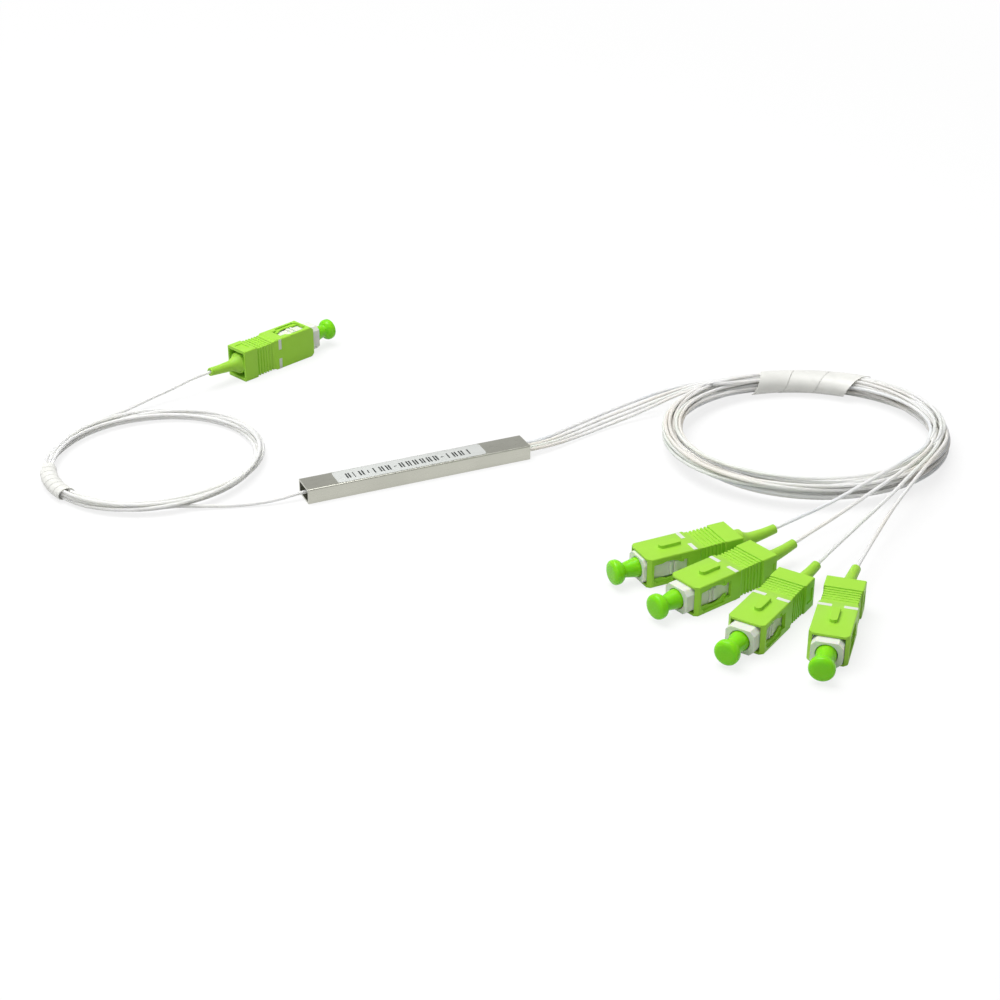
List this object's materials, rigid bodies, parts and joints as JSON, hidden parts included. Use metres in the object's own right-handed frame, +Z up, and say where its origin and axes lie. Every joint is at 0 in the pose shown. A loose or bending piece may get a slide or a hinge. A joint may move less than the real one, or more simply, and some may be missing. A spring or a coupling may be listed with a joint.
{
  "type": "fibre optic splitter",
  "caption": "Slim steel-tube fibre-optic splitter with coiled white leads that end in green push-pull plugs with dust caps.",
  "frame": {"origin": "bottom centre of the steel tube", "axes": "+X along the tube towards the output leads, +Y across it, +Z up"},
  "size_m": [0.2263, 0.2152, 0.0097],
  "materials": {
    "steel": "drawn stainless steel, fine lengthwise brushing",
    "label_film": "white film label with plain dark bars",
    "sealant": "dark sealant",
    "silicone": "soft clear-white silicone",
    "chip_glass": "polished silica",
    "block_glass": "ground glass",
    "fibre_coating": "clear acrylate coating",
    "lead_jacket": "white semi-gloss buffer tube",
    "wrap_film": "translucent milky spiral wrap",
    "sleeve_green": "moulded green plastic, fine satin grain",
    "frame_white": "moulded white plastic",
    "ceramic": "polished zirconia",
    "spring_steel": "bright spring wire",
    "stop_ring_metal": "turned nickel-plated metal",
    "boot_green": "soft green boot",
    "cap_green": "translucent bright green soft plastic"
  },
  "bodies": {
    "root": {"steel_tube": "steel", "label": "label_film", "input_end_seal": "sealant", "output_end_seal": "sealant", "silicone_bed": "silicone", "splitter_chip": "chip_glass", "chip_lid": "chip_glass", "input_fibre_block": "block_glass", "output_fibre_block": "block_glass", "input_bare_fibre": "fibre_coating", "output_fibre_ribbon": "fibre_coating", "input_lead_near": "lead_jacket", "input_coil": "lead_jacket", "input_lead_far": "lead_jacket", "input_coil_wrap": "wrap_film", "output_coil": "lead_jacket", "output_coil_wrap": "wrap_film", "output_lead_near_1": "lead_jacket", "output_lead_far_1": "lead_jacket", "output_lead_near_2": "lead_jacket", "output_lead_far_2": "lead_jacket", "output_lead_near_3": "lead_jacket", "output_lead_far_3": "lead_jacket", "output_lead_near_4": "lead_jacket", "output_lead_far_4": "lead_jacket", "input_plug_frame": "frame_white", "input_spring": "spring_steel", "input_stop_ring": "stop_ring_metal", "input_boot": "boot_green", "output_1_plug_frame": "frame_white", "output_1_spring": "spring_steel", "output_1_stop_ring": "stop_ring_metal", "output_1_boot": "boot_green", "output_2_plug_frame": "frame_white", "output_2_spring": "spring_steel", "output_2_stop_ring": "stop_ring_metal", "output_2_boot": "boot_green", "output_3_plug_frame": "frame_white", "output_3_spring": "spring_steel", "output_3_stop_ring": "stop_ring_metal", "output_3_boot": "boot_green", "output_4_plug_frame": "frame_white", "output_4_spring": "spring_steel", "output_4_stop_ring": "stop_ring_metal", "output_4_boot": "boot_green"},
    "input_sleeve": {"input_coupling_sleeve": "sleeve_green"},
    "input_ferrule_body": {"input_ferrule": "ceramic"},
    "input_cap": {"input_dust_cap": "cap_green"},
    "output_1_sleeve": {"output_1_coupling_sleeve": "sleeve_green"},
    "output_1_ferrule_body": {"output_1_ferrule": "ceramic"},
    "output_1_cap": {"output_1_dust_cap": "cap_green"},
    "output_2_sleeve": {"output_2_coupling_sleeve": "sleeve_green"},
    "output_2_ferrule_body": {"output_2_ferrule": "ceramic"},
    "output_2_cap": {"output_2_dust_cap": "cap_green"},
    "output_3_sleeve": {"output_3_coupling_sleeve": "sleeve_green"},
    "output_3_ferrule_body": {"output_3_ferrule": "ceramic"},
    "output_3_cap": {"output_3_dust_cap": "cap_green"},
    "output_4_sleeve": {"output_4_coupling_sleeve": "sleeve_green"},
    "output_4_ferrule_body": {"output_4_ferrule": "ceramic"},
    "output_4_cap": {"output_4_dust_cap": "cap_green"}
  },
  "joints": [
    {"name": "input_sleeve_slide", "type": "slide", "parent": "root", "child": "input_sleeve", "axis": [-0.9285, -0.3714, 0], "range_m": [0, 0.002]},
    {"name": "input_ferrule_press", "type": "slide", "parent": "root", "child": "input_ferrule_body", "axis": [-0.9285, -0.3714, 0], "range_m": [0, 0.001], "stiffness_N_per_m": 500, "deforming": ["input_spring"]},
    {"name": "input_cap_pull", "type": "slide", "parent": "root", "child": "input_cap", "axis": [0.9285, 0.3714, 0], "range_m": [0, 0.012]},
    {"name": "output_1_sleeve_slide", "type": "slide", "parent": "root", "child": "output_1_sleeve", "axis": [0.9995, 0.0314, 0], "range_m": [0, 0.002]},
    {"name": "output_1_ferrule_press", "type": "slide", "parent": "root", "child": "output_1_ferrule_body", "axis": [0.9995, 0.0314, 0], "range_m": [0, 0.001], "stiffness_N_per_m": 500, "deforming": ["output_1_spring"]},
    {"name": "output_1_cap_pull", "type": "slide", "parent": "root", "child": "output_1_cap", "axis": [-0.9995, -0.0314, 0], "range_m": [0, 0.012]},
    {"name": "output_2_sleeve_slide", "type": "slide", "parent": "root", "child": "output_2_sleeve", "axis": [0.9686, 0.2487, 0], "range_m": [0, 0.002]},
    {"name": "output_2_ferrule_press", "type": "slide", "parent": "root", "child": "output_2_ferrule_body", "axis": [0.9686, 0.2487, 0], "range_m": [0, 0.001], "stiffness_N_per_m": 500, "deforming": ["output_2_spring"]},
    {"name": "output_2_cap_pull", "type": "slide", "parent": "root", "child": "output_2_cap", "axis": [-0.9686, -0.2487, 0], "range_m": [0, 0.012]},
    {"name": "output_3_sleeve_slide", "type": "slide", "parent": "root", "child": "output_3_sleeve", "axis": [0.8415, 0.5402, 0], "range_m": [0, 0.002]},
    {"name": "output_3_ferrule_press", "type": "slide", "parent": "root", "child": "output_3_ferrule_body", "axis": [0.8415, 0.5402, 0], "range_m": [0, 0.001], "stiffness_N_per_m": 500, "deforming": ["output_3_spring"]},
    {"name": "output_3_cap_pull", "type": "slide", "parent": "root", "child": "output_3_cap", "axis": [-0.8415, -0.5402, 0], "range_m": [0, 0.012]},
    {"name": "output_4_sleeve_slide", "type": "slide", "parent": "root", "child": "output_4_sleeve", "axis": [0.6587, 0.7524, 0], "range_m": [0, 0.002]},
    {"name": "output_4_ferrule_press", "type": "slide", "parent": "root", "child": "output_4_ferrule_body", "axis": [0.6587, 0.7524, 0], "range_m": [0, 0.001], "stiffness_N_per_m": 500, "deforming": ["output_4_spring"]},
    {"name": "output_4_cap_pull", "type": "slide", "parent": "root", "child": "output_4_cap", "axis": [-0.6587, -0.7524, 0], "range_m": [0, 0.012]}
  ]
}
